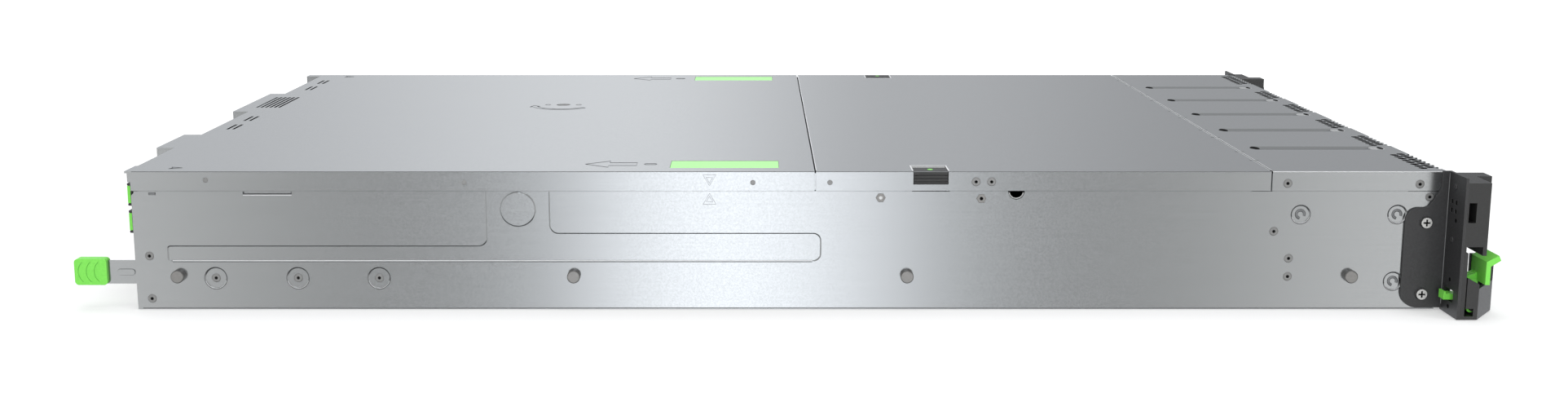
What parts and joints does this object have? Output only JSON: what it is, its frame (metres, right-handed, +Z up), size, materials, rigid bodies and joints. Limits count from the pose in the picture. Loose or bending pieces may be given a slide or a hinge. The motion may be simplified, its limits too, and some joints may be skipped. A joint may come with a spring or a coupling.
{
  "type": "rack server",
  "caption": "Flat rack server case with sliding and tilting top covers, quick-release rack ears, drive bays, fans, boards and pull-out power supplies.",
  "frame": {"origin": "centre of the base's underside, midway along the case without its ears", "axes": "+X to the front with the drive bays, +Y to the server's own left, +Z up"},
  "size_m": [0.8773, 0.4826, 0.0875],
  "materials": {
    "zinc_steel": "zinc-coated sheet steel with a fine even grain",
    "stud_steel": "plain machined steel",
    "black_steel": "black powder coat",
    "black_plastic": "fine-textured black moulding",
    "green_plastic": "bright lime green moulding",
    "rotor_plastic": "dark grey moulding",
    "circuit_board": "green solder mask",
    "fin_aluminium": "plain extruded fins",
    "case_aluminium": "satin metal case",
    "connector_shell": "plated connector shells"
  },
  "bodies": {
    "chassis": {"base_pan": "zinc_steel", "side_wall_left": "zinc_steel", "side_wall_right": "zinc_steel", "cover_rails": "zinc_steel", "rear_panel": "zinc_steel", "io_plate": "zinc_steel", "front_top_panel": "zinc_steel", "rail_studs": "stud_steel", "drive_cage": "zinc_steel", "bay_fillers": "black_plastic", "backplane": "circuit_board", "fan_bracket": "zinc_steel", "fan_housings": "black_plastic", "motherboard": "circuit_board", "cpu_heat_sinks": "fin_aluminium", "memory_modules": "circuit_board", "psu_bays": "zinc_steel", "power_boards": "circuit_board", "riser_cages": "zinc_steel", "riser_boards": "circuit_board", "slot_covers": "zinc_steel", "slot_latch_housings": "black_plastic", "rear_connectors": "connector_shell", "ear_bracket_left": "black_steel", "ear_bracket_right": "black_steel", "ear_housing_left": "black_plastic", "ear_housing_right": "black_plastic", "ear_screws": "stud_steel"},
    "rear_cover": {"rear_cover": "zinc_steel", "touch_pads": "green_plastic"},
    "cover_lock": {"cover_lock": "stud_steel"},
    "mid_cover": {"mid_cover": "zinc_steel"},
    "cover_latch_left": {"cover_latch_left": "black_plastic"},
    "cover_latch_right": {"cover_latch_right": "black_plastic"},
    "ear_lever_left": {"ear_lever_left": "green_plastic"},
    "ear_lever_right": {"ear_lever_right": "green_plastic"},
    "power_button": {"power_button": "black_plastic"},
    "id_button": {"id_button": "black_plastic"},
    "slot_latch_lower": {"slot_latch_lower": "green_plastic"},
    "slot_latch_upper": {"slot_latch_upper": "green_plastic"},
    "fan_rotor_1": {"fan_rotor_1": "rotor_plastic"},
    "fan_rotor_2": {"fan_rotor_2": "rotor_plastic"},
    "fan_rotor_3": {"fan_rotor_3": "rotor_plastic"},
    "fan_rotor_4": {"fan_rotor_4": "rotor_plastic"},
    "fan_rotor_5": {"fan_rotor_5": "rotor_plastic"},
    "fan_rotor_6": {"fan_rotor_6": "rotor_plastic"},
    "drive_1": {"drive_1": "case_aluminium"},
    "drive_lever_1": {"drive_lever_1": "green_plastic"},
    "drive_2": {"drive_2": "case_aluminium"},
    "drive_lever_2": {"drive_lever_2": "green_plastic"},
    "drive_3": {"drive_3": "case_aluminium"},
    "drive_lever_3": {"drive_lever_3": "green_plastic"},
    "drive_4": {"drive_4": "case_aluminium"},
    "drive_lever_4": {"drive_lever_4": "green_plastic"},
    "psu_left": {"psu_case_left": "case_aluminium"},
    "psu_latch_left": {"psu_strip_left": "stud_steel", "psu_grip_left": "green_plastic"},
    "psu_right": {"psu_case_right": "case_aluminium"},
    "psu_latch_right": {"psu_strip_right": "stud_steel", "psu_grip_right": "green_plastic"}
  },
  "joints": [
    {"name": "rear_cover_slide", "type": "slide", "parent": "chassis", "child": "rear_cover", "axis": [-1, 0, 0], "range_m": [0, 0.013]},
    {"name": "cover_lock_turn", "type": "hinge", "parent": "rear_cover", "child": "cover_lock", "pos_m": [-0.169, 0.0465, 0.087], "axis": [0, 0, 1], "range_deg": [0, 90]},
    {"name": "mid_cover_tilt", "type": "hinge", "parent": "chassis", "child": "mid_cover", "pos_m": [0.2962, 0, 0.0864], "axis": [0, 1, 0], "range_deg": [0, 60]},
    {"name": "cover_latch_left_press", "type": "slide", "parent": "mid_cover", "child": "cover_latch_left", "axis": [0, -1, 0], "range_m": [0, 0.003], "stiffness_N_per_m": 600},
    {"name": "psu_left_slide", "type": "slide", "parent": "chassis", "child": "psu_left", "axis": [-1, 0, 0], "range_m": [0, 0.19]},
    {"name": "psu_left_latch", "type": "hinge", "parent": "psu_left", "child": "psu_latch_left", "pos_m": [-0.4005, 0.211, 0.022], "axis": [0, 0, 1], "range_deg": [0, 6], "stiffness_Nm_per_rad": 1},
    {"name": "ear_lever_left_pull", "type": "hinge", "parent": "chassis", "child": "ear_lever_left", "pos_m": [0.4155, 0.2294, 0.0058], "axis": [0, 1, 0], "range_deg": [0, 10], "stiffness_Nm_per_rad": 0.5},
    {"name": "cover_latch_right_press", "type": "slide", "parent": "mid_cover", "child": "cover_latch_right", "axis": [0, 1, 0], "range_m": [0, 0.003], "stiffness_N_per_m": 600},
    {"name": "psu_right_slide", "type": "slide", "parent": "chassis", "child": "psu_right", "axis": [-1, 0, 0], "range_m": [0, 0.19]},
    {"name": "psu_right_latch", "type": "hinge", "parent": "psu_right", "child": "psu_latch_right", "pos_m": [-0.4005, -0.211, 0.022], "axis": [0, 0, -1], "range_deg": [0, 6], "stiffness_Nm_per_rad": 1},
    {"name": "ear_lever_right_pull", "type": "hinge", "parent": "chassis", "child": "ear_lever_right", "pos_m": [0.4155, -0.2294, 0.0058], "axis": [0, 1, 0], "range_deg": [0, 10], "stiffness_Nm_per_rad": 0.5},
    {"name": "drive_1_slide", "type": "slide", "parent": "chassis", "child": "drive_1", "axis": [1, 0, 0], "range_m": [0, 0.105]},
    {"name": "drive_lever_1_swing", "type": "hinge", "parent": "drive_1", "child": "drive_lever_1", "pos_m": [0.4083, -0.19944, 0.074], "axis": [0, -1, 0], "range_deg": [0, 60]},
    {"name": "drive_2_slide", "type": "slide", "parent": "chassis", "child": "drive_2", "axis": [1, 0, 0], "range_m": [0, 0.105]},
    {"name": "drive_lever_2_swing", "type": "hinge", "parent": "drive_2", "child": "drive_lever_2", "pos_m": [0.4083, -0.18231, 0.074], "axis": [0, -1, 0], "range_deg": [0, 60]},
    {"name": "drive_3_slide", "type": "slide", "parent": "chassis", "child": "drive_3", "axis": [1, 0, 0], "range_m": [0, 0.105]},
    {"name": "drive_lever_3_swing", "type": "hinge", "parent": "drive_3", "child": "drive_lever_3", "pos_m": [0.4083, -0.16519, 0.074], "axis": [0, -1, 0], "range_deg": [0, 60]},
    {"name": "drive_4_slide", "type": "slide", "parent": "chassis", "child": "drive_4", "axis": [1, 0, 0], "range_m": [0, 0.105]},
    {"name": "drive_lever_4_swing", "type": "hinge", "parent": "drive_4", "child": "drive_lever_4", "pos_m": [0.4083, -0.14806, 0.074], "axis": [0, -1, 0], "range_deg": [0, 60]},
    {"name": "fan_rotor_1_spin", "type": "hinge", "parent": "chassis", "child": "fan_rotor_1", "pos_m": [0.2178, -0.17375, 0.0324], "axis": [1, 0, 0], "continuous": true},
    {"name": "fan_rotor_2_spin", "type": "hinge", "parent": "chassis", "child": "fan_rotor_2", "pos_m": [0.2178, -0.10425, 0.0324], "axis": [1, 0, 0], "continuous": true},
    {"name": "fan_rotor_3_spin", "type": "hinge", "parent": "chassis", "child": "fan_rotor_3", "pos_m": [0.2178, -0.03475, 0.0324], "axis": [1, 0, 0], "continuous": true},
    {"name": "fan_rotor_4_spin", "type": "hinge", "parent": "chassis", "child": "fan_rotor_4", "pos_m": [0.2178, 0.03475, 0.0324], "axis": [1, 0, 0], "continuous": true},
    {"name": "fan_rotor_5_spin", "type": "hinge", "parent": "chassis", "child": "fan_rotor_5", "pos_m": [0.2178, 0.10425, 0.0324], "axis": [1, 0, 0], "continuous": true},
    {"name": "fan_rotor_6_spin", "type": "hinge", "parent": "chassis", "child": "fan_rotor_6", "pos_m": [0.2178, 0.17375, 0.0324], "axis": [1, 0, 0], "continuous": true},
    {"name": "power_button_press", "type": "slide", "parent": "chassis", "child": "power_button", "axis": [-1, 0, 0], "range_m": [0, 0.0012], "stiffness_N_per_m": 800},
    {"name": "id_button_press", "type": "slide", "parent": "chassis", "child": "id_button", "axis": [-1, 0, 0], "range_m": [0, 0.0012], "stiffness_N_per_m": 800},
    {"name": "slot_latch_lower_swing", "type": "hinge", "parent": "chassis", "child": "slot_latch_lower", "pos_m": [-0.40405, -0.20025, 0.0549], "axis": [0, 0, -1], "range_deg": [0, 70]},
    {"name": "slot_latch_upper_swing", "type": "hinge", "parent": "chassis", "child": "slot_latch_upper", "pos_m": [-0.40405, -0.20025, 0.072], "axis": [0, 0, -1], "range_deg": [0, 70]}
  ]
}
